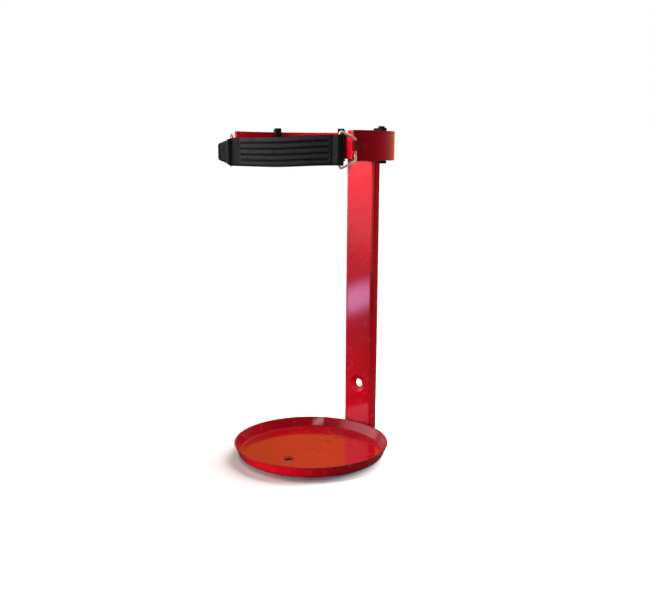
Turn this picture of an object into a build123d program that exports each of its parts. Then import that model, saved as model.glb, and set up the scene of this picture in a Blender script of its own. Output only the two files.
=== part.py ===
from build123d import *
import os
from math import acos, cos, degrees, radians, sin, sqrt

# Cylinder bracket: pressed tray, folded upright, C-shaped band and a rubber strap with wire bails.
# Millimetres.  +Z is up, the front is -Y and Z = 0 is the standing plane.  The tray, the upright,
# the band and the two bails mirror in X = 0.

# ---------------------------------------------------------------- driving dimensions
# upright
upright_sheet = 3.0
upright_width = 44.0
upright_top = 400.0
flange_depth = 12.0            # from the web's front face to the flange edges
flange_end_z = 8.0             # the flanges stop here, the plain strip goes on down
flange_corner = 7.0            # rounding of the flanges' lower back corners
flange_bend = 4.0              # outer radius of the folded edges
foot_bend = 6.0                # outer radius where the strip turns under the tray
foot_tip_y = -8.0              # front end of the foot
foot_tip_corner = 9.0
top_corner = 3.0               # rounding of the flanges' upper back corners

# fixing holes
fixing_hole_d = 11.0
fixing_low_z = 70.5
dimple_mouth_d = 22.0
dimple_floor_d = 15.0
dimple_depth = 2.5
dimple_boss_step = 1.0         # how far the boss's end stands out past the dimple's floor

# tray
tray_sheet = 2.0
tray_depth = 12.5              # from the floor's top to the rim
rim_gap = 0.1                  # between the rim and the upright's web
wall_flare = 6.5               # how much wider the rim is than the foot of the wall
tray_bend = 3.0                # inner radius between floor and wall
rim_chamfer = 0.5
drain_d = 10.5
drain_y = -42.9
drain_dish_d = 18.0
drain_dish_depth = 0.8
drain_lip = 1.5                # flat ring round the drain hole
weld_mark_d = 8.0
weld_mark_depth = 0.25
tray_weld_y = (34.0, 56.8)

# band
band_sheet = 2.5
band_outer_r = 97.0
band_height = 33.0
band_below_top = 19.5          # from the upright's top to the band's centre
band_flat_in = 1.0             # how far the flat at the back lies inside the band's circle
band_end_angle = 67.2          # each end, measured from the front axis
band_corner = 1.5
band_weld_dz = 11.5            # weld marks above and below the upper fixing hole
band_weld_d = 6.0

# hook tongues
tongue_width = 11.0
tongue_slot = 2.0              # slot on each side of a tongue
tongue_slot_depth = 3.6        # from the band's end
tongue_root = 1.0              # degrees that a tongue's root runs on into the band
hook_gap = 3.8                 # clear width inside the fold
hook_angle = 68.3              # where the fold's axis stands
lip_length = 7.4

# wire bails
wire_d = 2.6                   # across the corners of the wire's section
wire_sides = 12                # the section is a polygon, which keeps the bends light
bail_length = 18.5             # from the hook to the eye
bail_lean = 8.5                # degrees that a bail and its hook lean from the band's tangent
bail_seat_gap = 0.3            # between a bail and the inside of its hook
bail_drop = 5.0                # a bail rests on its tongue, this much below the band's centre
bail_hook_half = 12.0          # half the side that sits in the hook
bail_eye_half = 20.3           # half the side that passes through the strap's eye
bail_hook_bend = 3.0
bail_eye_bend = 2.2

# strap
strap_height = 33.0
strap_sheet = 5.0
strap_panel_half = 69.5        # half the ribbed panel's width
strap_panel_shift = 3.6        # the panel sits this far right, away from the pull tab
strap_panel_end_y = -54.5      # front face at the panel's ends
strap_crown = 8.0              # how far the panel bows out between its ends
strap_end_round = 2.1          # rounding of the panel's upright ends
rib_count = 5
groove_width = 1.8
groove_depth = 1.2
groove_end_margin = 3.0
eye_d = 8.8
eye_clearance = 0.3
neck_sheet = 2.8
tab_length = 13.0
tab_sheet = 3.6
tab_tip_height = 21.5
tab_splay = 8.0                # degrees that the tab stands out from the mirror line
tab_bead_d = 4.6
tab_corner = 2.5

# rubber buffers, as angles from the front axis, negative to the left
left_side_angle = -112.5
left_rear_angle = -164.2
right_rear_angle = 159.5
right_side_angle = 97.5
buffer_width = 8.5
buffer_inside = 5.0            # thickness inside the band
buffer_lip = 3.2               # lips over the band's edges, up to its outer face
buffer_rise = 1.8              # how far the pad inside the band stands past the lips
buffer_round = 1.2
buffer_fit = 0.05              # clearance round the band

# ---------------------------------------------------------------- worked out
band_z = upright_top - band_below_top
mid_z = band_z - bail_drop                     # height of the strap and the bails
web_face_y = band_outer_r - band_flat_in       # front face of the upright
foot_top_z = upright_sheet
floor_top_z = foot_top_z + tray_sheet
rim_z = floor_top_z + tray_depth
rim_r = web_face_y - rim_gap
tray_foot_r = rim_r - wall_flare
fixing_high_z = band_z                         # the upper bolt goes through band and upright
fixing_pitch = fixing_high_z - fixing_low_z
back_y = web_face_y + upright_sheet
band_inner_r = band_outer_r - band_sheet
hook_mid_r = band_outer_r + hook_gap / 2
slot_end_angle = band_end_angle + degrees(tongue_slot_depth / band_outer_r)
fold_outer_r = hook_gap / 2 + band_sheet
buffer_angles = {
    "buffer_left_side": left_side_angle,
    "buffer_left_rear": left_rear_angle,
    "buffer_right_rear": right_rear_angle,
    "buffer_right_side": right_side_angle,
}
overshoot = 5.0                                # how far cutting tools run past a face
tolerance = 0.01                               # for picking edges and corners by place


def polar(radius, angle):
    """Plan point at an angle from the front axis, positive to the right."""
    return (radius * sin(radians(angle)), -radius * cos(radians(angle)))


fold_x, fold_y = polar(hook_mid_r, hook_angle)
pull_heading = hook_angle - bail_lean          # plan heading from the eye to the hook, from +X
pull_x = cos(radians(pull_heading))
pull_y = sin(radians(pull_heading))
bail_seat = hook_gap / 2 - wire_d / 2 - bail_seat_gap
bail_x = fold_x - bail_seat * pull_x           # the bail's side that sits in the hook
bail_y = fold_y - bail_seat * pull_y
eye_x = bail_x - bail_length * pull_x
eye_y = bail_y - bail_length * pull_y


# ---------------------------------------------------------------- small helpers
def extrude_plan(sketch, low_z, high_z):
    """Upright solid over a plan sketch drawn at Z = 0."""
    return Pos(0, 0, low_z) * extrude(sketch, high_z - low_z)


def mirrored(shape):
    return mirror(shape, about=Plane.YZ)


def ring_sector(inner_r, outer_r, start_angle, end_angle):
    """Plan face between two radii and two angles from the front axis."""
    inner_start = polar(inner_r, start_angle)
    outer_start = polar(outer_r, start_angle)
    inner_end = polar(inner_r, end_angle)
    outer_end = polar(outer_r, end_angle)
    middle = (start_angle + end_angle) / 2
    edges = [
        Line(inner_start, outer_start),
        ThreePointArc(outer_start, polar(outer_r, middle), outer_end),
        Line(outer_end, inner_end),
        ThreePointArc(inner_end, polar(inner_r, middle), inner_start),
    ]
    return make_face(edges)


# ---------------------------------------------------------------- tray
def make_tray():
    """Pressed dish: one sheet section turned about the Z axis."""
    slope = sqrt(wall_flare ** 2 + (rim_z - foot_top_z) ** 2) / (rim_z - foot_top_z)
    wall_across = tray_sheet * slope                   # the sheet measured level through the wall
    lean_per_mm = wall_flare / (rim_z - foot_top_z)
    inner_foot_r = tray_foot_r + tray_sheet * lean_per_mm - wall_across
    outline = Polyline(
        (0, foot_top_z),
        (tray_foot_r, foot_top_z),
        (rim_r, rim_z),
        (rim_r - wall_across, rim_z),
        (inner_foot_r, floor_top_z),
        (0, floor_top_z),
        close=True,
    )
    section = make_face(outline)
    outer_foot = section.vertices().sort_by_distance((tray_foot_r, foot_top_z, 0))[0]
    inner_foot = section.vertices().sort_by_distance((inner_foot_r, floor_top_z, 0))[0]
    section = fillet(outer_foot, tray_bend + tray_sheet)
    inner_foot = section.vertices().sort_by_distance((inner_foot_r, floor_top_z, 0))[0]
    section = fillet(inner_foot, tray_bend)
    rim_points = section.vertices().filter_by_position(Axis.Y, rim_z - tolerance, rim_z + tolerance)
    section = chamfer(rim_points, rim_chamfer)
    dish = revolve(Plane.XZ * section, Axis.Z)

    drain_at = Pos(0, drain_y, 0)
    dish_cone_h = drain_dish_depth + overshoot
    widen = dish_cone_h / drain_dish_depth
    dish_r = drain_dish_d / 2
    lip_r = drain_d / 2 + drain_lip
    funnel = Cone(lip_r, lip_r + (dish_r - lip_r) * widen, dish_cone_h)
    funnel_low = floor_top_z - drain_dish_depth + dish_cone_h / 2
    dish -= drain_at * Pos(0, 0, funnel_low) * funnel
    boss = Cone(lip_r + tray_sheet / 2, dish_r, drain_dish_depth)
    boss_mid = foot_top_z - drain_dish_depth / 2
    dish += drain_at * Pos(0, 0, boss_mid) * boss
    dish -= drain_at * Cylinder(drain_d / 2, 4 * overshoot)

    for weld_y in tray_weld_y:
        mark_z = floor_top_z - weld_mark_depth + overshoot / 2
        dish -= Pos(0, weld_y, mark_z) * Cylinder(weld_mark_d / 2, overshoot)
    return dish


# ---------------------------------------------------------------- upright
def dimple(height):
    """Boss to add behind the web and cone to cut from its front, round one fixing hole."""
    face = Plane(origin=(0, web_face_y, height), x_dir=(1, 0, 0), z_dir=(0, 1, 0))
    mouth_r = dimple_mouth_d / 2
    floor_r = dimple_floor_d / 2
    pressed = Pos(0, 0, dimple_depth / 2) * Cone(mouth_r, floor_r, dimple_depth)
    boss_end_r = floor_r + dimple_boss_step
    boss = Pos(0, 0, upright_sheet + dimple_depth / 2) * Cone(mouth_r, boss_end_r, dimple_depth)
    return face * boss, face * pressed


def fixing_drill(height):
    drill = Cylinder(fixing_hole_d / 2, 2 * flange_depth)
    return Pos(0, web_face_y, height) * Rot(90, 0, 0) * drill


def make_upright():
    """Folded channel whose web runs on below the flanges and turns under the tray as a foot."""
    half = upright_width / 2
    flange_back = web_face_y + flange_depth
    channel_outer = Polyline(
        (-half, flange_back),
        (-half, web_face_y),
        (half, web_face_y),
        (half, flange_back),
        (half - upright_sheet, flange_back),
        (half - upright_sheet, back_y),
        (-half + upright_sheet, back_y),
        (-half + upright_sheet, flange_back),
        close=True,
    )
    channel = make_face(channel_outer)
    front_corners = channel.vertices().group_by(Axis.Y)[0]
    channel = fillet(front_corners, flange_bend)
    inner_corners = channel.vertices().filter_by_position(
        Axis.Y, back_y - tolerance, back_y + tolerance
    )
    channel = fillet(inner_corners, flange_bend - upright_sheet)
    folded = extrude_plan(channel, flange_end_z, upright_top)
    for corner_z, corner_r in ((flange_end_z, flange_corner), (upright_top, top_corner)):
        back_edges = folded.edges().filter_by(Axis.X).filter_by_position(
            Axis.Y, flange_back - tolerance, flange_back + tolerance
        )
        back_edges = back_edges.filter_by_position(
            Axis.Z, corner_z - tolerance, corner_z + tolerance
        )
        folded = fillet(back_edges, corner_r)

    strip_path = Polyline(
        (foot_tip_y, 0),
        (back_y, 0),
        (back_y, flange_end_z),
        (web_face_y, flange_end_z),
        (web_face_y, foot_top_z),
        (foot_tip_y, foot_top_z),
        close=True,
    )
    strip_side = make_face(strip_path)
    heel = strip_side.vertices().sort_by_distance((back_y, 0, 0))[0]
    strip_side = fillet(heel, foot_bend)
    instep = strip_side.vertices().sort_by_distance((web_face_y, foot_top_z, 0))[0]
    strip_side = fillet(instep, foot_bend - upright_sheet)
    strip = extrude(Plane.YZ * strip_side, half, both=True)
    tip_edges = strip.edges().filter_by(Axis.Z).group_by(Axis.Y)[0]
    strip = fillet(tip_edges, foot_tip_corner)

    upright = folded + strip
    boss, pressed = dimple(fixing_low_z)
    upright = upright + boss - pressed
    upright -= fixing_drill(fixing_low_z)
    upright -= fixing_drill(fixing_high_z)
    return upright


# ---------------------------------------------------------------- band
def fold_point(radius, angle):
    """Plan point round the fold's axis; 180 faces the band, 0 faces straight out from it."""
    turn = radians(hook_angle - 90 + angle)
    return (fold_x + radius * cos(turn), fold_y + radius * sin(turn))


def along_lip(point, distance):
    return (point[0] + distance * pull_x, point[1] + distance * pull_y)


def hook_tongue():
    """Right-hand tongue: off the band's end, folded outwards and back over the bail."""
    inner_r = hook_gap / 2
    middle_r = (inner_r + fold_outer_r) / 2
    root_angle = slot_end_angle + tongue_root
    near_root = (hook_angle + root_angle) / 2
    turn_middle = (180 + 360 - bail_lean) / 2      # half-way round the fold
    outer_lip = fold_point(fold_outer_r, -bail_lean)
    inner_lip = fold_point(inner_r, -bail_lean)
    tip = along_lip(fold_point(middle_r, -bail_lean), lip_length + band_sheet / 2)
    outer_end = along_lip(outer_lip, lip_length)
    inner_end = along_lip(inner_lip, lip_length)
    inner_root = polar(band_inner_r, root_angle)
    outer_root = polar(band_outer_r, root_angle)
    inner_start = fold_point(fold_outer_r, 180)
    outer_start = fold_point(inner_r, 180)
    edges = [
        ThreePointArc(inner_root, polar(band_inner_r, near_root), inner_start),
        ThreePointArc(inner_start, fold_point(fold_outer_r, turn_middle), outer_lip),
        Line(outer_lip, outer_end),
        ThreePointArc(outer_end, tip, inner_end),
        Line(inner_end, inner_lip),
        ThreePointArc(inner_lip, fold_point(inner_r, turn_middle), outer_start),
        ThreePointArc(outer_start, polar(band_outer_r, near_root), outer_root),
        Line(outer_root, inner_root),
    ]
    low = band_z - tongue_width / 2
    return extrude_plan(make_face(edges), low, low + tongue_width)


def make_band():
    """C-shaped strip with a flat at the back, where it is welded to the upright."""
    flat_half = sqrt(band_outer_r ** 2 - web_face_y ** 2)
    inner_flat_y = web_face_y - band_sheet
    ring = ring_sector(band_inner_r, band_outer_r, band_end_angle, 360 - band_end_angle)
    behind = Pos(0, web_face_y + overshoot) * Rectangle(4 * flat_half, 2 * overshoot)
    flat = Pos(0, inner_flat_y + band_sheet / 2) * Rectangle(2 * flat_half, band_sheet)
    plan = ring - behind + flat
    low = band_z - band_height / 2
    band = extrude_plan(plan, low, low + band_height)

    end_edges = [
        edge
        for edge in band.edges().filter_by(GeomType.LINE)
        if edge.center().Y < 0 and abs(edge.length - band_sheet) < tolerance
    ]
    band = fillet(end_edges, band_corner)

    notch_height = tongue_width + 2 * tongue_slot
    notch_plan = ring_sector(
        band_inner_r - overshoot,
        band_outer_r + overshoot,
        2 * band_end_angle - slot_end_angle,
        slot_end_angle,
    )
    notch_low = band_z - notch_height / 2
    notch = extrude_plan(notch_plan, notch_low, notch_low + notch_height)
    tongue = hook_tongue()
    band = band - notch - mirrored(notch) + mirrored(tongue) + tongue

    band -= fixing_drill(fixing_high_z)
    mark = Rot(90, 0, 0) * Cylinder(band_weld_d / 2, overshoot)
    mark_y = inner_flat_y + weld_mark_depth - overshoot / 2
    for side in (-1, 1):
        band -= Pos(0, mark_y, band_z + side * band_weld_dz) * mark
    return band


# ---------------------------------------------------------------- wire bails
def make_bail():
    """Closed four-sided wire loop: short side in the right hook, long side in the strap's eye."""
    loop_plane = Plane(
        origin=(bail_x, bail_y, mid_z),
        x_dir=(-pull_x, -pull_y, 0),
        z_dir=(pull_y, -pull_x, 0),
    )
    corners = [
        (0, -bail_hook_half),
        (bail_length, -bail_eye_half),
        (bail_length, bail_eye_half),
        (0, bail_hook_half),
    ]
    loop = make_face(Polyline(*corners, close=True))
    hook_corners = loop.vertices().group_by(Axis.X)[0]
    loop = fillet(hook_corners, bail_hook_bend)
    eye_corners = loop.vertices().group_by(Axis.X)[-1]
    loop = fillet(eye_corners, bail_eye_bend)
    wire_path = (loop_plane * loop).faces()[0].outer_wire()
    section_plane = Plane(origin=wire_path @ 0, z_dir=wire_path % 0)
    section = section_plane * RegularPolygon(wire_d / 2, wire_sides)
    return sweep(section, path=wire_path)


# ---------------------------------------------------------------- strap
def strap_arcs():
    """Outer radius of the bowed panel and the Y of its centre."""
    half = strap_panel_half
    outer_r = (half ** 2 + strap_crown ** 2) / (2 * strap_crown)
    centre_y = strap_panel_end_y - strap_crown + outer_r
    return outer_r, centre_y


def bowed_strip(outer_r, inner_r, half_width, centre_y):
    """Plan face of a bowed strip, symmetrical about the panel's own middle."""
    block = Pos(strap_panel_shift, centre_y - outer_r) * Rectangle(2 * half_width, outer_r)
    ring = Circle(outer_r) - Circle(inner_r)
    return (Pos(strap_panel_shift, centre_y) * ring) & block


def make_strap():
    """Moulded strap: ribbed panel, a round eye at each end and a pull tab on the left."""
    outer_r, centre_y = strap_arcs()
    inner_r = outer_r - strap_sheet
    panel_plan = bowed_strip(outer_r, inner_r, strap_panel_half, centre_y)
    ends = panel_plan.vertices()
    panel_plan = fillet(ends, strap_end_round)

    neck_reach = strap_panel_half - strap_sheet
    neck_root_y = centre_y - sqrt((outer_r - strap_sheet / 2) ** 2 - neck_reach ** 2)
    plan = panel_plan
    for side in (-1, 1):
        neck_root_x = strap_panel_shift + side * neck_reach
        neck = Line((neck_root_x, neck_root_y), (side * eye_x, eye_y))
        plan = plan + trace(neck, neck_sheet) + Pos(side * eye_x, eye_y) * Circle(eye_d / 2)
    low = mid_z - strap_height / 2
    strap = extrude_plan(plan, low, low + strap_height)

    bore = Pos(eye_x, eye_y, mid_z) * Cylinder(wire_d / 2 + eye_clearance, 2 * strap_height)
    strap = strap + pull_tab()
    strap = strap - bore - mirrored(bore)

    groove_plan = bowed_strip(
        outer_r + overshoot, outer_r - groove_depth, strap_panel_half - groove_end_margin, centre_y
    )
    rib_pitch = strap_height / rib_count
    for index in range(1, rib_count):
        groove_z = low + index * rib_pitch
        cut = extrude_plan(groove_plan, groove_z - groove_width / 2, groove_z + groove_width / 2)
        strap -= cut
    return strap


def pull_tab():
    """Tapered tab that carries on outwards from the left eye, with a bead at its tip."""
    root = Plane(
        origin=(-eye_x, eye_y, mid_z),
        x_dir=(-cos(radians(tab_splay)), -sin(radians(tab_splay)), 0),
        z_dir=(-sin(radians(tab_splay)), cos(radians(tab_splay)), 0),
    )
    reach = eye_d / 2 + tab_length
    outline = Polyline(
        (0, -strap_height / 2),
        (eye_d / 2, -strap_height / 2),
        (reach, -tab_tip_height / 2),
        (reach, tab_tip_height / 2),
        (eye_d / 2, strap_height / 2),
        (0, strap_height / 2),
        close=True,
    )
    face = make_face(outline)
    tip_corners = face.vertices().group_by(Axis.X)[-1]
    face = fillet(tip_corners, tab_corner)
    blade = extrude(root * face, tab_sheet / 2, both=True)
    bead_length = tab_tip_height - 2 * tab_corner
    bead = Rot(90, 0, 0) * Cylinder(tab_bead_d / 2, bead_length)
    bead_at = Pos(reach - tab_bead_d / 2, 0, 0)
    return blade + root * (bead_at * bead)


# ---------------------------------------------------------------- rubber buffers
def make_buffer(angle):
    """Rubber pad inside the band, held by a lip over the band's upper and lower edge."""
    half_angle = degrees(buffer_width / 2 / band_inner_r)
    start = angle - half_angle
    end = angle + half_angle
    pad_plan = ring_sector(band_inner_r - buffer_inside, band_inner_r - buffer_fit, start, end)
    pad_plan = fillet(pad_plan.vertices(), buffer_round)
    lip_plan = ring_sector(band_inner_r - buffer_inside / 2, band_outer_r, start, end)
    lip_low = band_z - band_height / 2 - buffer_lip
    lip_high = band_z + band_height / 2 + buffer_lip
    pad = extrude_plan(pad_plan, lip_low - buffer_rise, lip_high + buffer_rise)
    lips = extrude_plan(lip_plan, lip_low, lip_high)
    slot_plan = ring_sector(
        band_inner_r - buffer_fit,
        band_outer_r + overshoot,
        start - half_angle,
        end + half_angle,
    )
    slot_half = band_height / 2 + buffer_fit
    slot = extrude_plan(slot_plan, band_z - slot_half, band_z + slot_half)
    return pad + (lips - slot)


# ---------------------------------------------------------------- build
def build_nodes():
    right_bail = make_bail()
    nodes = {
        "tray": make_tray(),
        "upright": make_upright(),
        "band": make_band(),
        "bail_right": right_bail,
        "bail_left": mirrored(right_bail),
        "strap": make_strap(),
    }
    for name, angle in buffer_angles.items():
        nodes[name] = make_buffer(angle)
    return nodes


os.makedirs("parts", exist_ok=True)
for node_name, shape in build_nodes().items():
    shape.label = node_name
    export_step(shape, f"parts/{node_name}.step")
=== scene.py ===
from math import acos, asin, atan2, cos, pi, radians, sin, sqrt

import bpy
from mathutils import Matrix, Vector


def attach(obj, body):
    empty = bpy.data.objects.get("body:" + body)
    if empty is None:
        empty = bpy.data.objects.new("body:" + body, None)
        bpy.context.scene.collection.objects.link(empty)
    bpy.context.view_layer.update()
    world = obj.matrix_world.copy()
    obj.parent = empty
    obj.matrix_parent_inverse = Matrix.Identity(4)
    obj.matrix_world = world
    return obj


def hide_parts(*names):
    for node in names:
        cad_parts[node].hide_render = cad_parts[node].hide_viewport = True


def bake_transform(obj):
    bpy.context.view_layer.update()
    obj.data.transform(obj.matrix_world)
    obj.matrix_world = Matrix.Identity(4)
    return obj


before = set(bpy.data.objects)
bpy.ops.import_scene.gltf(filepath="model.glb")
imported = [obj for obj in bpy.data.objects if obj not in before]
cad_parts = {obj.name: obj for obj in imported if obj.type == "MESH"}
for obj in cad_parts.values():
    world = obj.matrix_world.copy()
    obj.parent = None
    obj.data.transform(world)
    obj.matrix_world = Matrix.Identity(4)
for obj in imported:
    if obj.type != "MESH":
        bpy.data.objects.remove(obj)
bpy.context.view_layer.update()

MM = 0.001
ROOT = "root"
BAIL_BODY = "strap_end"


# ---------------------------------------------------------------- camera
def add_camera():
    """The photograph's view: no shift, a slight roll."""
    forward = Vector((-0.61334535, 0.76897114, -0.18025223)).normalized()
    level_right = forward.cross(Vector((0, 0, 1))).normalized()
    level_up = level_right.cross(forward)
    roll = radians(0.331)
    right = level_right * cos(roll) + level_up * sin(roll)
    up = right.cross(forward)
    turn = Matrix((right, up, -forward)).transposed()
    data = bpy.data.cameras.new("camera")
    data.lens = 46.78
    data.sensor_width = 36.0
    data.sensor_fit = "HORIZONTAL"
    data.clip_start = 0.01
    camera = bpy.data.objects.new("camera", data)
    camera.matrix_world = Matrix.Translation((0.64767, -0.78262, 0.37706)) @ turn.to_4x4()
    bpy.context.scene.collection.objects.link(camera)
    bpy.context.scene.camera = camera


add_camera()


# ---------------------------------------------------------------- node helpers
class Shader:
    """A small wrapper for building node trees."""

    def __init__(self, tree):
        self.tree = tree

    def node(self, kind, inputs=None, **settings):
        made = self.tree.nodes.new(kind)
        for key, value in settings.items():
            setattr(made, key, value)
        for key, value in (inputs or {}).items():
            self.put(made.inputs[key], value)
        return made

    def put(self, socket, value):
        if isinstance(value, bpy.types.NodeSocket):
            self.tree.links.new(value, socket)
        elif isinstance(value, bpy.types.Node):
            self.tree.links.new(value.outputs[0], socket)
        else:
            socket.default_value = value

    def math(self, operation, first, second=0.0):
        made = self.node("ShaderNodeMath", operation=operation)
        self.put(made.inputs[0], first)
        self.put(made.inputs[1], second)
        return made.outputs[0]

    def vector(self, operation, first, second=(0, 0, 0)):
        made = self.node("ShaderNodeVectorMath", operation=operation)
        self.put(made.inputs[0], first)
        self.put(made.inputs[1], second)
        return made.outputs["Value" if operation in ("DOT_PRODUCT", "LENGTH") else "Vector"]

    def remap(self, value, low, high, out_low=0.0, out_high=1.0):
        made = self.node("ShaderNodeMapRange", interpolation_type="SMOOTHSTEP")
        self.put(made.inputs["Value"], value)
        self.put(made.inputs["From Min"], low)
        self.put(made.inputs["From Max"], high)
        self.put(made.inputs["To Min"], out_low)
        self.put(made.inputs["To Max"], out_high)
        return made.outputs["Result"]

    def mix(self, factor, first, second):
        made = self.node("ShaderNodeMix", data_type="RGBA")
        self.put(made.inputs[0], factor)
        self.put(made.inputs[6], first)
        self.put(made.inputs[7], second)
        return made.outputs[2]

    def noise(self, coords, scale, detail=2.0, rough=0.5):
        made = self.node("ShaderNodeTexNoise", {"Scale": scale, "Detail": detail, "Roughness": rough})
        self.put(made.inputs["Vector"], coords)
        return made.outputs[0]

    def bump(self, height, distance, strength, normal=None):
        made = self.node("ShaderNodeBump", {"Distance": distance, "Strength": strength})
        self.put(made.inputs["Height"], height)
        if normal is not None:
            self.put(made.inputs["Normal"], normal)
        return made.outputs[0]


def rgb(red, green, blue):
    return (red, green, blue, 1.0)


def new_material(name, viewport):
    material = bpy.data.materials.new(name)
    material.use_nodes = True
    material.diffuse_color = viewport
    tree = material.node_tree
    tree.nodes.clear()
    shader = Shader(tree)
    surface = shader.node("ShaderNodeBsdfPrincipled")
    out = shader.node("ShaderNodeOutputMaterial")
    tree.links.new(surface.outputs[0], out.inputs[0])
    coords = shader.node("ShaderNodeTexCoord").outputs["Object"]
    return material, shader, surface, coords


# ---------------------------------------------------------------- materials
TRAY_RIM_LOW = 0.0163          # metres: above this height the tray's rim edge is darkened, painted shade for its dark reflection as well as thin paint
TRAY_RIM_HIGH = 0.0171


def make_enamel(name, painted_rim_shade):
    """Gloss red enamel with painted shade on rounded edges; the tray's also has a painted-shade darker edge
    all the way round its rim.
    """
    material, shader, surface, coords = new_material(name, rgb(0.5, 0.01, 0.02))
    rounded = shader.node("ShaderNodeBevel", {"Radius": 0.0010}, samples=6).outputs[0]
    facing = shader.node("ShaderNodeNewGeometry")
    off_edge = shader.vector("DOT_PRODUCT", rounded, facing.outputs["True Normal"])
    edge = shader.remap(off_edge, 0.985, 0.80)
    cloud = shader.noise(coords, 14.0, 4.0, 0.55)
    mottle = shader.remap(cloud, 0.3, 0.7)
    red = shader.mix(mottle, rgb(0.245, 0.0006, 0.0045), rgb(0.275, 0.0008, 0.0060))
    speck = shader.remap(shader.noise(coords, 420.0, 3.0, 0.6), 0.66, 0.78)
    red = shader.mix(shader.math("MULTIPLY", speck, 0.08), red, rgb(0.15, 0.001, 0.003))
    # painted shade: rounded edges darkened, partly thin paint there and partly the dark reflection seen along
    # them
    red = shader.mix(shader.math("MULTIPLY", edge, 0.8), red, rgb(0.03, 0.0006, 0.001))
    up = shader.node("ShaderNodeSeparateXYZ", {0: facing.outputs["Normal"]}).outputs[2]
    lying = shader.remap(up, 0.7, 0.98)
    dust_cloud = shader.remap(shader.noise(coords, 60.0, 6.0, 0.7), 0.42, 0.72)
    dust = shader.math("MULTIPLY", shader.math("MULTIPLY", lying, dust_cloud), 0.012)
    red = shader.mix(dust, red, rgb(0.45, 0.30, 0.26))
    peel = shader.noise(coords, 620.0, 2.0, 0.45)
    sway = shader.noise(coords, 26.0, 2.0, 0.4)
    normal = shader.bump(sway, 0.0012, 0.10, rounded)
    if painted_rim_shade:
        z = shader.node("ShaderNodeSeparateXYZ", {0: coords}).outputs[2]
        # painted shade: the rim's top edge darkened all round for the dark reflection it shows, with thin
        # paint there too
        rim = shader.remap(z, TRAY_RIM_LOW, TRAY_RIM_HIGH)
        red = shader.mix(shader.math("MULTIPLY", rim, 0.45), red, rgb(0.035, 0.0004, 0.0012))
    normal = shader.bump(peel, 0.00006, 0.16, normal)
    rough = shader.remap(shader.noise(coords, 90.0, 3.0, 0.6), 0.3, 0.75, 0.20, 0.30)
    surface.inputs["Specular IOR Level"].default_value = 0.25
    surface.inputs["Coat Weight"].default_value = 0.85
    surface.inputs["Coat Roughness"].default_value = 0.045
    shader.put(surface.inputs["Base Color"], red)
    shader.put(surface.inputs["Roughness"], rough)
    shader.put(surface.inputs["Normal"], normal)
    shader.put(surface.inputs["Coat Normal"], normal)
    return material


def make_strap_rubber():
    """Satin black rubber; the mesh's groove attribute paints shade into the grooves, necks and tip."""
    material, shader, surface, coords = new_material("strap_rubber", rgb(0.03, 0.03, 0.032))
    groove = shader.node("ShaderNodeAttribute", attribute_name="groove").outputs["Fac"]
    cloud = shader.noise(coords, 45.0, 5.0, 0.6)
    mottle = shader.remap(cloud, 0.3, 0.72)
    colour = shader.mix(mottle, rgb(0.0018, 0.0020, 0.0023), rgb(0.0034, 0.0037, 0.0041))
    fleck = shader.remap(shader.noise(coords, 900.0, 2.0, 0.5), 0.62, 0.75)
    colour = shader.mix(shader.math("MULTIPLY", fleck, 0.20), colour, rgb(0.012, 0.012, 0.012))
    # painted shade: the groove attribute darkens the grooves, the necks and the tab's tip
    colour = shader.mix(shader.math("MULTIPLY", groove, 0.75), colour, rgb(0.0008, 0.0008, 0.0008))
    grain = shader.noise(coords, 1500.0, 3.0, 0.6)
    ripple = shader.noise(coords, 120.0, 2.0, 0.5)
    normal = shader.bump(ripple, 0.0004, 0.12)
    normal = shader.bump(grain, 0.00008, 0.25, normal)
    rough = shader.remap(shader.noise(coords, 160.0, 4.0, 0.6), 0.3, 0.7, 0.42, 0.58)
    surface.inputs["Specular IOR Level"].default_value = 0.40
    shader.put(surface.inputs["Base Color"], colour)
    shader.put(surface.inputs["Roughness"], rough)
    shader.put(surface.inputs["Normal"], normal)
    return material


def make_buffer_rubber():
    material, shader, surface, coords = new_material("buffer_rubber", rgb(0.015, 0.014, 0.014))
    cloud = shader.noise(coords, 130.0, 4.0, 0.6)
    colour = shader.mix(shader.remap(cloud, 0.3, 0.7), rgb(0.002, 0.002, 0.002), rgb(0.004, 0.0035, 0.0035))
    grain = shader.noise(coords, 1100.0, 3.0, 0.65)
    normal = shader.bump(grain, 0.00012, 0.3)
    rough = shader.remap(cloud, 0.3, 0.7, 0.46, 0.62)
    surface.inputs["Specular IOR Level"].default_value = 0.4
    shader.put(surface.inputs["Base Color"], colour)
    shader.put(surface.inputs["Roughness"], rough)
    shader.put(surface.inputs["Normal"], normal)
    return material


def make_wire_metal():
    material, shader, surface, coords = new_material("wire", rgb(0.8, 0.6, 0.4))
    cloud = shader.noise(coords, 210.0, 4.0, 0.6)
    colour = shader.mix(shader.remap(cloud, 0.35, 0.7), rgb(1.0, 0.64, 0.44), rgb(1.0, 0.78, 0.60))
    stain = shader.remap(shader.noise(coords, 520.0, 3.0, 0.6), 0.60, 0.74)
    colour = shader.mix(shader.math("MULTIPLY", stain, 0.35), colour, rgb(0.40, 0.24, 0.14))
    stretched = shader.node("ShaderNodeMapping", {"Vector": coords, "Scale": (1.0, 1.0, 0.12)})
    drawn = shader.noise(stretched.outputs[0], 2600.0, 2.0, 0.5)
    normal = shader.bump(drawn, 0.00004, 0.2)
    rough = shader.remap(cloud, 0.3, 0.7, 0.20, 0.34)
    surface.inputs["Metallic"].default_value = 0.15
    surface.inputs["Specular IOR Level"].default_value = 0.3
    shader.put(surface.inputs["Base Color"], colour)
    shader.put(surface.inputs["Roughness"], rough)
    shader.put(surface.inputs["Normal"], normal)
    return material


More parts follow.
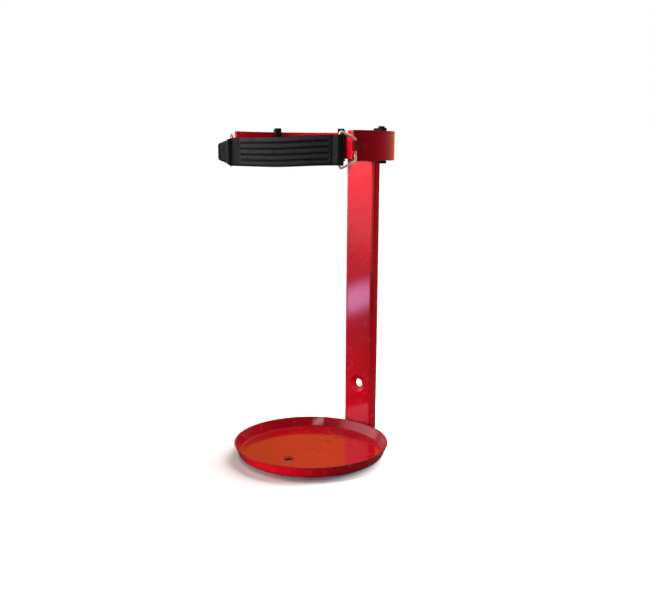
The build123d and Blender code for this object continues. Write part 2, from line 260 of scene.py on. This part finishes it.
def make_floor_material():
    """White to the camera (Is Camera Ray); the object is lit by the tones of a room."""
    material, shader, surface, coords = new_material("floor", rgb(0.9, 0.9, 0.9))
    tone = shader.remap(shader.noise(coords, 3.0, 3.0, 0.5), 0.3, 0.7)
    seen = shader.mix(tone, rgb(0.90, 0.90, 0.90), rgb(0.92, 0.92, 0.915))

    def towards(x, y, low, high):
        return shader.remap(shader.vector("DOT_PRODUCT", coords, Vector((x, y, 0.0))), low, high)

    front = towards(-0.62, -0.78, 1.3, 2.8)
    back = towards(-0.61, 0.77, 0.15, 0.6)
    right = towards(0.8, 0.6, 0.12, 0.5)
    room = shader.mix(right, rgb(0.05, 0.045, 0.04), rgb(0.02, 0.015, 0.015))
    near = towards(-0.2, -0.98, 0.04, 0.14)
    room = shader.mix(near, room, rgb(0.08, 0.07, 0.07))
    room = shader.mix(back, room, rgb(0.17, 0.052, 0.013))
    room = shader.mix(front, room, rgb(0.62, 0.62, 0.68))
    direct = shader.node("ShaderNodeLightPath").outputs["Is Camera Ray"]
    surface.inputs["Roughness"].default_value = 0.9
    surface.inputs["Specular IOR Level"].default_value = 0.0
    shader.put(surface.inputs["Base Color"], shader.mix(direct, room, seen))
    return material


enamel = make_enamel("enamel", False)
tray_enamel = make_enamel("tray_enamel", True)
strap_rubber = make_strap_rubber()
buffer_rubber = make_buffer_rubber()
wire_metal = make_wire_metal()
floor_material = make_floor_material()

NODE_MATERIALS = {
    "tray": tray_enamel,
    "upright": enamel,
    "band": enamel,
    "strap": strap_rubber,
    "bail_right": wire_metal,
    "bail_left": wire_metal,
}
for name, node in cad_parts.items():
    material = NODE_MATERIALS.get(name, buffer_rubber)
    if not node.material_slots:
        node.data.materials.append(material)
    for material_slot in node.material_slots:
        material_slot.material = material


# ---------------------------------------------------------------- mesh helpers
def link_mesh(name, points, faces, material, body, smooth_angle=40):
    mesh = bpy.data.meshes.new(name)
    mesh.from_pydata([(x * MM, y * MM, z * MM) for x, y, z in points], [], faces)
    mesh.validate()
    mesh.materials.append(material)
    mesh.shade_smooth()
    mesh.set_sharp_from_angle(angle=radians(smooth_angle))
    piece = bpy.data.objects.new(name, mesh)
    bpy.context.scene.collection.objects.link(piece)
    if body:
        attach(piece, body)
    return piece


def loft(rings, closed_path=False):
    """Points and faces of a skin over rings of equal length; open ends are capped."""
    size = len(rings[0])
    points = [point for ring in rings for point in ring]
    faces = []
    count = len(rings)
    last = count if closed_path else count - 1
    for i in range(last):
        a = i * size
        b = ((i + 1) % count) * size
        for j in range(size):
            k = (j + 1) % size
            faces.append((a + j, a + k, b + k, b + j))
    if not closed_path:
        faces.append(tuple(reversed(range(size))))
        faces.append(tuple((count - 1) * size + j for j in range(size)))
    return points, faces


def smoothstep(value, low, high):
    t = min(1.0, max(0.0, (value - low) / (high - low)))
    return t * t * (3 - 2 * t)


# ---------------------------------------------------------------- wire bails
WIRE_R = 1.3
WIRE_SIDES = 20
BAIL_LENGTH = 18.5
BAIL_HOOK_HALF = 12.0          # half the side that sits in the hook
BAIL_EYE_HALF = 20.3           # half the side that passes through the strap's eye
BAIL_HOOK_BEND = 3.0
BAIL_EYE_BEND = 2.2
PULL = (cos(radians(59.8)), sin(radians(59.8)))
BAIL_HOOK = (91.7403, -36.8272)
EYE = (BAIL_HOOK[0] - BAIL_LENGTH * PULL[0], BAIL_HOOK[1] - BAIL_LENGTH * PULL[1])
MID_Z = 375.5


def rounded_loop(corners, radii, steps):
    """Closed 2-D path through corners, each turned with its own radius."""
    path = []
    count = len(corners)
    for i, corner in enumerate(corners):
        here = Vector(corner)
        before = (Vector(corners[i - 1]) - here).normalized()
        after = (Vector(corners[(i + 1) % count]) - here).normalized()
        half = acos(max(-1.0, min(1.0, before.dot(after)))) / 2
        reach = radii[i] / (sin(half) / cos(half))
        centre = here + (before + after).normalized() * (radii[i] / sin(half))
        start = here + before * reach - centre
        end = here + after * reach - centre
        sweep = atan2(start.x * end.y - start.y * end.x, start.dot(end))
        for k in range(steps + 1):
            angle = sweep * k / steps
            x = start.x * cos(angle) - start.y * sin(angle)
            y = start.x * sin(angle) + start.y * cos(angle)
            path.append(centre + Vector((x, y)))
    return path


def add_bail(name, side, body):
    """Bent wire in place of a CAD bail; side is 1 on the right and -1 on the left."""
    corners = [
        (0, -BAIL_HOOK_HALF),
        (BAIL_LENGTH, -BAIL_EYE_HALF),
        (BAIL_LENGTH, BAIL_EYE_HALF),
        (0, BAIL_HOOK_HALF),
    ]
    bends = [BAIL_HOOK_BEND, BAIL_EYE_BEND, BAIL_EYE_BEND, BAIL_HOOK_BEND]
    flat = rounded_loop(corners, bends, 10)
    along = Vector((-PULL[0], -PULL[1], 0))
    across = Vector((0, 0, 1))
    out = along.cross(across)
    hook = Vector((BAIL_HOOK[0], BAIL_HOOK[1], MID_Z))
    spine = [hook + along * p.x + across * p.y for p in flat]
    rings = []
    count = len(spine)
    for i, point in enumerate(spine):
        tangent = (spine[(i + 1) % count] - spine[i - 1]).normalized()
        sideways = tangent.cross(out).normalized()
        ring = []
        for k in range(WIRE_SIDES):
            a = 2 * pi * k / WIRE_SIDES
            spot = point + sideways * (WIRE_R * cos(a)) + out * (WIRE_R * sin(a))
            ring.append((spot.x * side, spot.y, spot.z))
        rings.append(ring if side > 0 else list(reversed(ring)))
    points, faces = loft(rings, closed_path=True)
    piece = link_mesh(name + "_wire", points, faces, wire_metal, body, 60)
    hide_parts(name)


add_bail("bail_right", 1, ROOT)
add_bail("bail_left", -1, BAIL_BODY)


# ---------------------------------------------------------------- strap
PANEL_HALF = 69.5
PANEL_SHIFT = 3.6
PANEL_CROWN = 8.0              # how far the panel bows out between its ends
PANEL_END_Y = -54.5
PANEL_R = (PANEL_HALF ** 2 + PANEL_CROWN ** 2) / (2 * PANEL_CROWN)
PANEL_CENTRE_Y = PANEL_END_Y - PANEL_CROWN + PANEL_R
PANEL_ROUND = 2.1
STRAP_T = 5.0
STRAP_H = 33.0
STRAP_EDGE = 1.1               # rounding along the strap's top and bottom edges
STRAP_DROOP = -3.0             # how far the strap hangs at its left and middle
RIB_COUNT = 5
RIB_PITCH = STRAP_H / RIB_COUNT
RIB_CROWN = 0.18
GROOVE_DEPTH = 1.2
FINE_STEP = 0.42
COARSE_STEP = 1.6
NECK_HALF = 1.4
EYE_R = 4.4
TAB_REACH = 17.4
TAB_HALF = 1.8
TAB_TAPER = 0.33               # half height lost per millimetre past the barrel's start
TAB_SPLAY = 8.0
TAB_CORNER = 2.5
BEAD_R = 2.3


def neck_facts(side):
    """Panel end, eye and path length to the eye, seen from the panel's own middle."""
    mid_r = PANEL_R - STRAP_T / 2
    end_x = PANEL_HALF - 1.5
    end = Vector((end_x, PANEL_CENTRE_Y - sqrt(mid_r ** 2 - end_x ** 2)))
    eye = Vector((EYE[0] - side * PANEL_SHIFT, EYE[1]))
    arc_half = asin(end_x / mid_r) * mid_r
    return mid_r, end, eye, arc_half, arc_half + (eye - end).length


def strap_station(path_s):
    """Centre, normal, half thickness, half height, groove share and shade at a path length."""
    side = 1 if path_s >= 0 else -1
    mid_r, end, eye, arc_half, eye_s = neck_facts(side)
    neck = eye - end
    neck_heading = atan2(neck.y, neck.x)
    turn = arc_half / mid_r
    s = abs(path_s)
    if s <= arc_half:
        heading = s / mid_r
        centre = Vector((mid_r * sin(heading), PANEL_CENTRE_Y - mid_r * cos(heading)))
    elif side > 0 or s <= eye_s:
        step = s - arc_half
        centre = end + neck.normalized() * step
        heading = turn + (neck_heading - turn) * smoothstep(step, -0.5, 3.0)
    else:
        step = s - eye_s
        splay = radians(-TAB_SPLAY)
        centre = eye + Vector((cos(splay), sin(splay))) * step
        heading = neck_heading + (splay - neck_heading) * smoothstep(step, 0, 3)
    normal = Vector((sin(heading), -cos(heading)))
    panel_end = arc_half + 1.5
    body = 0.0
    if s < panel_end - PANEL_ROUND:
        body = STRAP_T / 2
    elif s < panel_end:
        rounding = (s - panel_end + PANEL_ROUND) / PANEL_ROUND
        body = STRAP_T / 2 * sqrt(max(0.0, 1 - rounding ** 2))
    barrel = sqrt(max(0.0, EYE_R ** 2 - (s - eye_s) ** 2))
    web = NECK_HALF if s < eye_s else 0.0
    half_h = STRAP_H / 2
    if side < 0:
        half_h -= TAB_TAPER * max(0.0, s - eye_s + EYE_R)
    if side < 0 and s >= eye_s:
        d = s - eye_s
        bead = sqrt(max(0.0, BEAD_R ** 2 - (d - TAB_REACH + BEAD_R) ** 2))
        web = max(TAB_HALF if d <= TAB_REACH - BEAD_R else 0.0, bead)
        if d > TAB_REACH - TAB_CORNER:
            over = d - TAB_REACH + TAB_CORNER
            half_h -= TAB_CORNER - sqrt(max(0.0, TAB_CORNER ** 2 - over ** 2))
    half_t = (body ** 6 + barrel ** 6 + web ** 6) ** (1 / 6)
    groove = 1 - smoothstep(s, panel_end - 4.2, panel_end - 3.2)
    # painted shade: the neck between panel and eye, and the tab's tip, are darkened through the groove
    # attribute
    neck_shade = smoothstep(s, panel_end - 1.0, panel_end + 0.8)
    if side < 0:
        neck_shade *= 1 - smoothstep(s, eye_s - 1.5, eye_s + 1.5)
    tip = eye_s + TAB_REACH
    tip_shade = smoothstep(s, tip - 4.0, tip - 2.0) if side < 0 else 0.0
    centre = Vector((PANEL_SHIFT + centre.x * side, centre.y))
    normal = Vector((normal.x * side, normal.y))
    return centre, normal, half_t, half_h, groove, max(neck_shade, tip_shade)


def strap_front_rows():
    """Share of the half height and groove depth for each row of the front face."""
    rows = [(-1.0, 0.0)]
    shape = [(-1.35, 0.0), (-1.05, 0.10), (-0.85, 0.38), (-0.62, 0.85), (-0.3, 1.0), (0.0, 1.04)]
    shape += [(-z, depth) for z, depth in reversed(shape[:-1])]
    for k in range(RIB_COUNT):
        low = -STRAP_H / 2 + k * RIB_PITCH
        if k:
            rows += [((low + z) / (STRAP_H / 2), depth) for z, depth in shape]
        rows += [((low + RIB_PITCH * t) / (STRAP_H / 2), 0.0) for t in (0.32, 0.5, 0.68)]
    rows.append((1.0, 0.0))
    return rows


def rib_crown(z):
    """Gentle crown of each rib, 1 at its middle and 0 at the grooves."""
    place = ((z + STRAP_H / 2) / RIB_PITCH) % 1.0
    return max(0.0, 1 - (2 * place - 1) ** 2)


def edge_rows(half_h, edge):
    """Heights down the back face, close together at the rounded edges."""
    rows = []
    for k in range(5):
        rows.append(half_h - edge * (1 - cos(pi / 2 * k / 4)))
    for share in (0.6, 0.2, -0.2, -0.6):
        rows.append(share * half_h)
    return rows + [-z for z in reversed(rows[:5])]


def edge_offset(z, half_t, half_h, edge):
    """Distance of the face from the strap's middle, less at the rounded edges."""
    over = abs(z) - (half_h - edge)
    if over <= 0:
        return half_t
    return half_t - edge + sqrt(max(0.0, edge ** 2 - over ** 2))


def add_strap():
    """The whole moulding, skinned over cross-sections from the tab to the right eye."""
    left_eye = neck_facts(-1)[4]
    right_eye = neck_facts(1)[4]
    left_end = left_eye + TAB_REACH
    right_end = right_eye + EYE_R
    step_list = []
    s = -left_end + 0.02
    while s < right_end - 0.02:
        step_list.append(s)
        fine = s < 19 - left_eye or s > right_eye - 14
        s += FINE_STEP if fine else COARSE_STEP
    step_list.append(right_end - 0.02)
    rows = strap_front_rows()
    rings = []
    painted_shade_values = []
    for s in step_list:
        centre, normal, half_t, half_h, groove, shade = strap_station(s)
        droop = STRAP_DROOP * (1 - smoothstep(centre.x, -12, 80))
        edge = min(STRAP_EDGE, half_t * 0.92)
        ring = []
        ring_painted_shade = []
        for share, depth in rows:
            z = share * half_h
            crown = RIB_CROWN * rib_crown(z) * groove
            n = edge_offset(z, half_t, half_h, edge) - GROOVE_DEPTH * depth * groove + crown
            ring.append((centre.x + normal.x * n, centre.y + normal.y * n, MID_Z + droop + z))
            ring_painted_shade.append(max(depth * groove, shade))
        for z in edge_rows(half_h, edge):
            n = -edge_offset(z, half_t, half_h, edge)
            ring.append((centre.x + normal.x * n, centre.y + normal.y * n, MID_Z + droop + z))
            ring_painted_shade.append(shade)
        rings.append(ring)
        painted_shade_values += ring_painted_shade
    points, faces = loft(rings)
    piece = link_mesh("strap_moulding", points, faces, strap_rubber, None, 50)
    # the groove attribute holds painted shade: groove depth and the neck and tip shade
    attribute = piece.data.attributes.new("groove", "FLOAT", "POINT")
    attribute.data.foreach_set("value", painted_shade_values)
    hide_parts("strap")
    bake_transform(piece)


add_strap()


# ---------------------------------------------------------------- rubber buffers
BUFFER_ANGLES = {
    "buffer_left_side": -112.5,
    "buffer_left_rear": -164.2,
    "buffer_right_rear": 159.5,
    "buffer_right_side": 97.5,
}
BAND_IN_R = 94.5
BAND_OUT_R = 97.0
BAND_LOW = 364.0
BAND_HIGH = 397.0
BUFFER_HALF = 4.25
PAD_THICK = 4.95
LIP_RISE = 3.2
PAD_RISE = 5.0
BUFFER_ROUND = 1.2
SEAT_GAP = 0.05                # keeps a buffer's faces off the band's


def buffer_ring(angle, radial, half_w, corner):
    """Rounded-rectangle ring, bent to the band, from two radial limits and a half width."""
    inner, outer = radial
    mid_r = (inner + outer) / 2
    half_t = (outer - inner) / 2
    corner = max(0.2, min(corner, half_t * 0.95, half_w * 0.95))
    ring = []
    for quarter, (sx, sy) in enumerate(((1, 1), (-1, 1), (-1, -1), (1, -1))):
        for k in range(7):
            a = pi / 2 * (quarter + k / 6)
            across = sx * (half_w - corner) + corner * cos(a)
            turn = radians(angle) + across / mid_r
            radius = mid_r + sy * (half_t - corner) + corner * sin(a)
            ring.append((radius, turn))
    return ring


def rounded_stack(angle, inner, outer, low, high):
    """Block with every edge rounded, as points and faces."""
    rings = []
    levels = []
    for k in range(7):
        a = pi / 2 * k / 6
        levels.append((low + BUFFER_ROUND * (1 - cos(a)), BUFFER_ROUND * (1 - sin(a))))
    count = max(1, int((high - low) / 6))
    for k in range(1, count):
        straight = high - low - 2 * BUFFER_ROUND
        levels.append((low + BUFFER_ROUND + straight * k / count, 0.0))
    for k in range(6, -1, -1):
        a = pi / 2 * k / 6
        levels.append((high - BUFFER_ROUND * (1 - cos(a)), BUFFER_ROUND * (1 - sin(a))))
    for z, inset in levels:
        radial = (inner + inset, outer - inset)
        flat = buffer_ring(angle, radial, BUFFER_HALF - inset, BUFFER_ROUND - inset)
        rings.append([(r * sin(t), -r * cos(t), z) for r, t in flat])
    return loft(rings)


def join_parts(parts):
    points = []
    faces = []
    for part_points, part_faces in parts:
        shift = len(points)
        points += part_points
        faces += [tuple(i + shift for i in face) for face in part_faces]
    return points, faces


def add_buffer(name, angle):
    """A pad inside the band with a lip over its top and under its bottom edge."""
    pad_in = BAND_IN_R - PAD_THICK
    pad_out = BAND_IN_R - SEAT_GAP
    lip_in = BAND_IN_R - PAD_THICK / 2
    low, high = BAND_LOW - LIP_RISE, BAND_HIGH + LIP_RISE
    points, faces = join_parts([
        rounded_stack(angle, pad_in, pad_out, low, BAND_HIGH + PAD_RISE),
        rounded_stack(angle, lip_in, BAND_OUT_R, BAND_HIGH + SEAT_GAP, high),
        rounded_stack(angle, lip_in, BAND_OUT_R, low, BAND_LOW - SEAT_GAP),
    ])
    piece = link_mesh(name + "_moulding", points, faces, buffer_rubber, ROOT, 50)
    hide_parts(name)


for name, angle in BUFFER_ANGLES.items():
    add_buffer(name, angle)


# ---------------------------------------------------------------- stage and light
def add_floor():
    mesh = bpy.data.meshes.new("floor")
    reach = 9.0
    corners = [(-reach, -reach, 0), (reach, -reach, 0), (reach, reach, 0), (-reach, reach, 0)]
    mesh.from_pydata(corners, [], [(0, 1, 2, 3)])
    mesh.materials.append(floor_material)
    floor = bpy.data.objects.new("floor", mesh)
    bpy.context.scene.collection.objects.link(floor)


def add_lamp(name, kind, place, toward, energy, glossy):
    """A lamp for diffuse light alone, or a card that shows in reflections alone."""
    data = bpy.data.lights.new(name, kind)
    data.energy = energy
    lamp = bpy.data.objects.new(name, data)
    lamp.location = place
    lamp.rotation_euler = Vector(toward).to_track_quat("-Z", "Y").to_euler()
    lamp.visible_camera = False
    lamp.visible_glossy = glossy
    lamp.visible_diffuse = not glossy
    bpy.context.scene.collection.objects.link(lamp)
    return data


def add_sun(name, source, strength, spread):
    """Soft directional light from a direction."""
    data = add_lamp(name, "SUN", (0, 0, 2), [-v for v in source], strength, False)
    data.angle = radians(spread)


def add_softbox(name, place, target, size, energy, spread=180.0):
    """Square lamp; a small spread keeps its light near the target."""
    toward = [b - a for a, b in zip(place, target)]
    data = add_lamp(name, "AREA", place, toward, energy, False)
    data.size = size
    data.spread = radians(spread)


def add_card(name, seen_from, way, distance, size, radiance):
    """A bright card that one spot of the object reflects."""
    way = Vector(way).normalized()
    place = Vector(seen_from) + way * distance
    power = radiance * pi * size[0] * size[1]
    data = add_lamp(name, "AREA", place, -way, power, True)
    data.shape = "RECTANGLE"
    data.size = size[0]
    data.size_y = size[1]


def add_glow(name, seen_from, way, distance, size, tilt, radiance, colour):
    """A patch of light with a soft edge, seen in reflections alone."""
    way = Vector(way).normalized()
    facing = (-way).to_track_quat("Z", "Y").to_matrix().to_4x4()
    turn = facing @ Matrix.Rotation(radians(tilt), 4, "Z")
    mesh = bpy.data.meshes.new(name)
    mesh.from_pydata([(-1, -1, 0), (1, -1, 0), (1, 1, 0), (-1, 1, 0)], [], [(0, 1, 2, 3)])
    material = bpy.data.materials.new(name)
    material.use_nodes = True
    material.node_tree.nodes.clear()
    shader = Shader(material.node_tree)
    coords = shader.node("ShaderNodeTexCoord").outputs["Object"]
    fade = shader.remap(shader.vector("LENGTH", coords), 1.0, 0.15)
    glow = shader.node("ShaderNodeEmission", {"Color": rgb(*colour)})
    shader.put(glow.inputs["Strength"], shader.math("MULTIPLY", fade, radiance))
    clear = shader.node("ShaderNodeBsdfTransparent")
    both = shader.node("ShaderNodeAddShader", {0: glow, 1: clear})
    out = shader.node("ShaderNodeOutputMaterial")
    material.node_tree.links.new(both.outputs[0], out.inputs[0])
    mesh.materials.append(material)
    patch = bpy.data.objects.new(name, mesh)
    place = Matrix.Translation(Vector(seen_from) + way * distance)
    patch.matrix_world = place @ turn @ Matrix.Diagonal((size[0], size[1], 1, 1))
    patch.visible_camera = False
    patch.visible_diffuse = False
    patch.visible_shadow = False
    bpy.context.scene.collection.objects.link(patch)


def make_world():
    """White to the camera (Is Camera Ray); the object is lit by the tones of a room."""
    world = bpy.data.worlds.new("studio")
    bpy.context.scene.world = world
    world.use_nodes = True
    tree = world.node_tree
    tree.nodes.clear()
    shader = Shader(tree)
    direction = shader.node("ShaderNodeTexCoord").outputs["Generated"]
    height = shader.node("ShaderNodeSeparateXYZ", {0: direction}).outputs[2]
    level = shader.remap(height, 0.62, 0.40)

    def towards(way, low, high):
        return shader.remap(shader.vector("DOT_PRODUCT", direction, way), low, high)

    card = towards(Vector((-0.75, -0.60, 0.28)).normalized(), 0.70, 0.92)
    back = towards(Vector((-0.58, 0.74, 0.34)).normalized(), 0.62, 0.95)
    side = towards(Vector((1.0, -0.1, 0.0)), -0.3, 0.6)
    colour = shader.mix(side, rgb(0.16, 0.16, 0.17), rgb(0.035, 0.03, 0.03))
    colour = shader.mix(shader.math("MULTIPLY", card, level), colour, rgb(1.35, 1.3, 1.35))
    colour = shader.mix(back, colour, rgb(0.75, 0.19, 0.035))
    seen = shader.node("ShaderNodeLightPath").outputs["Is Camera Ray"]
    colour = shader.mix(seen, colour, rgb(1.0, 1.0, 1.0))
    background = shader.node("ShaderNodeBackground")
    background.inputs["Strength"].default_value = 1.0
    shader.put(background.inputs["Color"], colour)
    out = shader.node("ShaderNodeOutputWorld")
    tree.links.new(background.outputs[0], out.inputs[0])


add_floor()
make_world()
add_sun("top", (0.06, 0.75, 0.52), 5.7, 66.0)
add_sun("front_right", (0.75, -0.62, 0.30), 0.5, 30.0)
add_softbox("near", (-0.16, -0.12, 0.62), (0.0, 0.09, 0.33), 0.2, 1.55, 65.0)
add_softbox("low", (0.16, -0.60, 0.004), (-0.01, -0.10, 0.004), 0.05, 0.34, 28.0)
add_softbox("right", (0.35, 0.25, 0.12), (0.02, 0.10, 0.20), 0.15, 1.1)
add_card("spark", (-0.05, 0.076, 0.012), (0.40, -0.77, 0.50), 1.5, (0.42, 0.006), 16.0)
add_card("edge", (0.0715, -0.056, 0.373), (0.91, -0.37, -0.18), 0.8, (0.4, 0.3), 0.8)
add_glow(
    "low_window", (0.0, 0.096, 0.184), (-0.59, -0.79, -0.17), 0.5, (0.085, 0.038), -24.0, 7.5, (0.85, 0.5, 1.0)
)
bpy.context.scene.view_settings.view_transform = "Standard"
